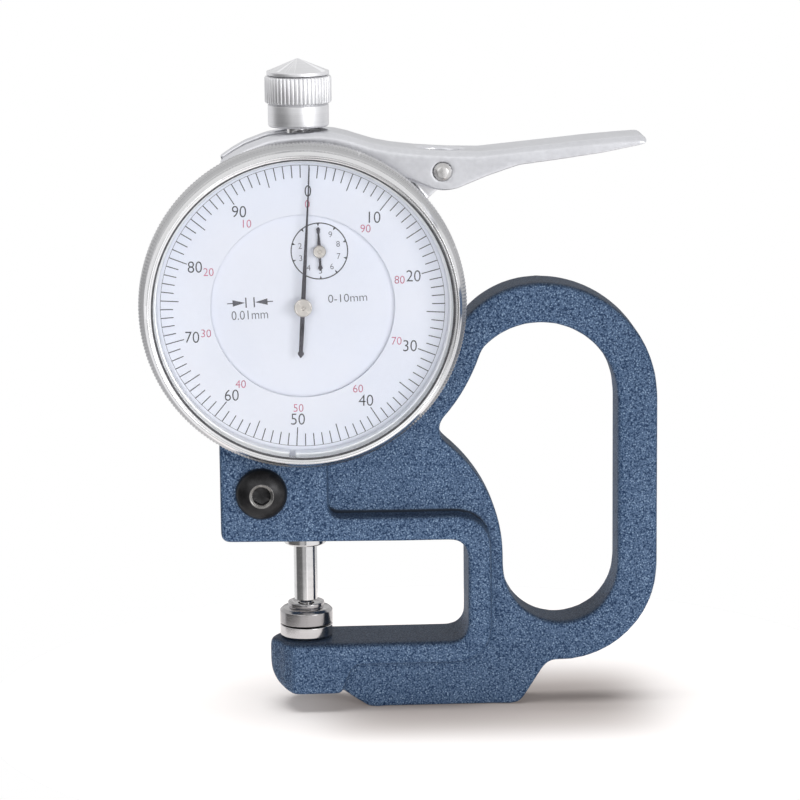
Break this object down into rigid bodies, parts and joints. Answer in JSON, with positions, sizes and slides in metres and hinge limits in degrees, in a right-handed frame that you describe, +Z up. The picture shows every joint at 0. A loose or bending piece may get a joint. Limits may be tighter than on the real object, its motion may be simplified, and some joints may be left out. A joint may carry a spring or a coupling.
{
  "type": "dial thickness gauge",
  "caption": "Hand-held dial thickness gauge: a cast frame with a finger grip, a dial indicator, a sprung spindle with flat contact over an anvil, and a lifting lever.",
  "frame": {"origin": "middle of the foot's underside, in the frame's middle plane", "axes": "+Z up along the spindle, +Y away from the dial's face, +X from the spindle towards the grip"},
  "size_m": [0.0968, 0.0287, 0.1235],
  "materials": {
    "frame_paint": "blue crackle paint over a cast frame",
    "black_screw": "black oxide",
    "ground_steel": "ground and lapped steel",
    "plain_steel": "turned steel",
    "cap_aluminium": "turned, with a straight knurl",
    "lever_aluminium": "satin silver",
    "case_metal": "satin silver",
    "bezel_chrome": "satin chrome",
    "crystal": "clear flat crystal",
    "plain_metal": "plain",
    "dial_enamel": "printed white dial",
    "movement_brass": "stamped and turned brass",
    "spring_steel": "spring wire",
    "pointer_black": "blackened",
    "jewel": "red bearing stones"
  },
  "bodies": {
    "frame": {"frame_casting": "frame_paint", "clamp_screw": "black_screw", "anvil": "ground_steel", "stem_bush": "ground_steel", "upper_bush": "ground_steel", "indicator_case": "case_metal", "back_cover": "case_metal", "inner_dial": "dial_enamel", "back_plate": "movement_brass", "mid_plate": "movement_brass", "front_plate": "movement_brass", "hairspring": "spring_steel", "return_spring": "spring_steel", "lever_spring": "spring_steel", "hairspring_stud": "movement_brass", "guide_rail": "movement_brass", "spring_post": "movement_brass", "lever_bracket": "case_metal", "lever_pin": "plain_steel", "cover_screw_1": "plain_steel", "cover_screw_2": "plain_steel", "cover_screw_3": "plain_steel", "cover_screw_4": "plain_steel", "rear_pillar_1": "movement_brass", "front_pillar_1": "movement_brass", "plate_screw_1": "plain_steel", "rear_pillar_2": "movement_brass", "front_pillar_2": "movement_brass", "plate_screw_2": "plain_steel", "rear_pillar_3": "movement_brass", "front_pillar_3": "movement_brass", "plate_screw_3": "plain_steel", "jewel_bearing_1": "jewel", "jewel_bearing_2": "jewel", "jewel_bearing_3": "jewel", "jewel_bearing_4": "jewel", "jewel_bearing_5": "jewel", "bracket_screw_1": "plain_steel", "bracket_screw_2": "plain_steel"},
    "bezel": {"bezel_ring": "bezel_chrome", "crystal": "crystal", "crystal_ring": "plain_metal", "scale_ring": "dial_enamel"},
    "plunger": {"spindle": "ground_steel", "contact_tip": "ground_steel", "lifting_cap": "cap_aluminium", "guide_pin": "plain_steel"},
    "centre_arbor": {"centre_pinion": "plain_steel", "main_pointer": "pointer_black", "pointer_hub": "bezel_chrome"},
    "rack_arbor": {"rack_wheel": "movement_brass", "rack_pinion": "plain_steel"},
    "counter": {"counter_wheel": "movement_brass", "counter_arbor": "plain_steel", "counter_pointer": "pointer_black"},
    "lever": {"lifting_lever": "lever_aluminium"}
  },
  "joints": [
    {"name": "spindle_slide", "type": "slide", "parent": "frame", "child": "plunger", "axis": [0, 0, 1], "range_m": [0, 0.01], "stiffness_N_per_m": 60, "springref_m": -0.02, "deforming": ["return_spring"]},
    {"name": "bezel_turn", "type": "hinge", "parent": "frame", "child": "bezel", "pos_m": [-0.0262, 0, 0.0792], "axis": [0, 1, 0], "continuous": true},
    {"name": "centre_turn", "type": "hinge", "parent": "frame", "child": "centre_arbor", "pos_m": [-0.0262, 0, 0.0792], "axis": [0, 1, 0], "range_deg": [0, 3600]},
    {"name": "rack_turn", "type": "hinge", "parent": "frame", "child": "rack_arbor", "pos_m": [-0.0294, 0, 0.06909], "axis": [0, 1, 0], "range_deg": [-360, 0]},
    {"name": "counter_turn", "type": "hinge", "parent": "frame", "child": "counter", "pos_m": [-0.023, 0, 0.08931], "axis": [0, 1, 0], "range_deg": [-360, 0]},
    {"name": "lever_turn", "type": "hinge", "parent": "frame", "child": "lever", "pos_m": [0.0001, 0, 0.1027], "axis": [0, 1, 0], "range_deg": [0, 21]}
  ],
  "couplings": [
    {"joint": "centre_turn", "follows": "spindle_slide", "rad_per_m": 6283.2},
    {"joint": "rack_turn", "follows": "spindle_slide", "rad_per_m": -628.32},
    {"joint": "counter_turn", "follows": "spindle_slide", "rad_per_m": -628.32},
    {"joint": "lever_turn", "follows": "spindle_slide", "rad_per_m": 36.5}
  ]
}
